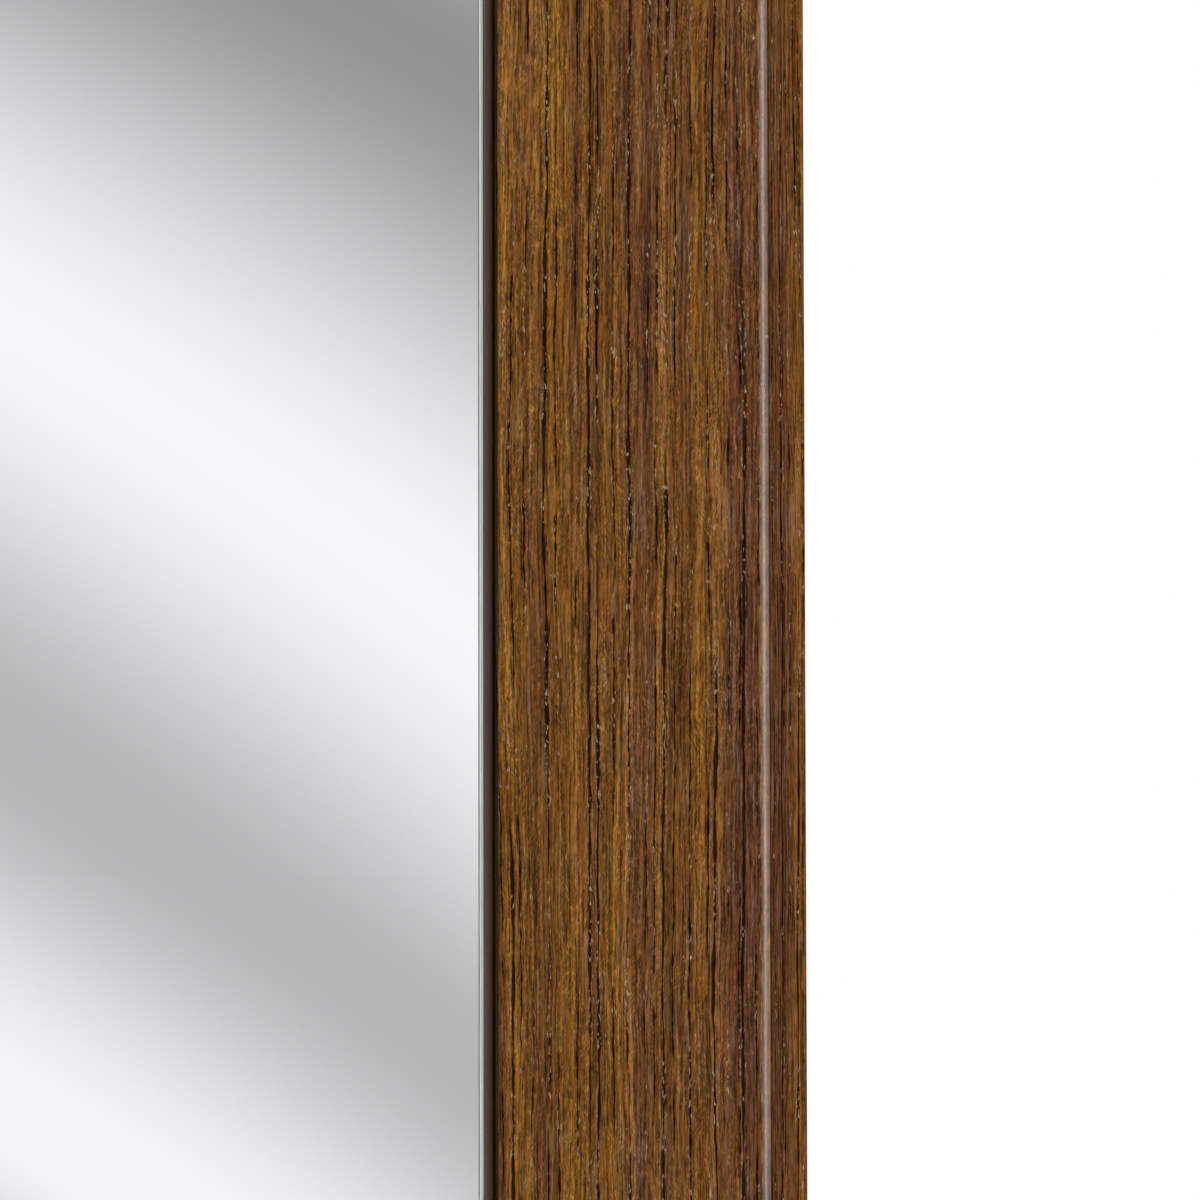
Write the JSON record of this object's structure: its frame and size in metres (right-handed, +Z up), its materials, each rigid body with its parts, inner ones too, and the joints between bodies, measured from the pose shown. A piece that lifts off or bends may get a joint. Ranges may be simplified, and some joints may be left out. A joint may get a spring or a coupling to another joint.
{
  "type": "wall mirror",
  "caption": "Rectangular wall mirror: a pane set in a mitred, stained oak frame with a narrow open gap all round it, and strap hangers with swinging rings behind.",
  "frame": {"origin": "centre of the frame's bottom face", "axes": "+Z up along the stiles, +X to the right seen from the front, the pane faces -Y and the wall is on +Y"},
  "size_m": [0.6, 0.0266, 0.8],
  "materials": {
    "stained_oak": "open-pored oak with a medium brown stain under a satin lacquer",
    "beech_biscuit": "pressed beech, unfinished",
    "nail_steel": "blued sheet steel",
    "mirror": "silvered float glass with polished edges",
    "safety_film": "grey woven-backed film, matte",
    "foam_tape": "closed-cell foam tape, matte",
    "panel_board": "medium-density fibreboard, sanded and unfinished",
    "spacer_plastic": "black moulded plastic, matte",
    "screw_steel": "zinc-plated steel",
    "hanger_steel": "nickel-plated steel, worn at the folds",
    "bumper_rubber": "soft grey rubber, matte"
  },
  "bodies": {
    "frame": {"backing_panel": "panel_board", "frame_rail_bottom": "stained_oak", "frame_rail_top": "stained_oak", "frame_stile_left": "stained_oak", "frame_stile_right": "stained_oak", "hanger_screws": "screw_steel", "hanger_strap_left": "hanger_steel", "hanger_strap_right": "hanger_steel", "mirror_pane": "mirror", "mitre_biscuit_bottom_left": "beech_biscuit", "mitre_biscuit_bottom_right": "beech_biscuit", "mitre_biscuit_top_left": "beech_biscuit", "mitre_biscuit_top_right": "beech_biscuit", "panel_screws": "screw_steel", "safety_film": "safety_film", "spacer_bottom_left": "spacer_plastic", "spacer_bottom_right": "spacer_plastic", "spacer_left_lower": "spacer_plastic", "spacer_left_upper": "spacer_plastic", "spacer_right_lower": "spacer_plastic", "spacer_right_upper": "spacer_plastic", "spacer_top_left": "spacer_plastic", "spacer_top_right": "spacer_plastic", "tape_strip_1": "foam_tape", "tape_strip_2": "foam_tape", "tape_strip_3": "foam_tape", "tape_strip_4": "foam_tape", "tape_strip_5": "foam_tape", "v_nails": "nail_steel", "wall_bumper_left": "bumper_rubber", "wall_bumper_right": "bumper_rubber"},
    "ring_left": {"hanger_ring_left": "hanger_steel"},
    "ring_right": {"hanger_ring_right": "hanger_steel"}
  },
  "joints": [
    {"name": "ring_left_swing", "type": "hinge", "parent": "frame", "child": "ring_left", "pos_m": [-0.28, 0.0133, 0.65], "axis": [-1, 0, 0], "range_deg": [0, 177]},
    {"name": "ring_right_swing", "type": "hinge", "parent": "frame", "child": "ring_right", "pos_m": [0.28, 0.0133, 0.65], "axis": [-1, 0, 0], "range_deg": [0, 177]}
  ]
}
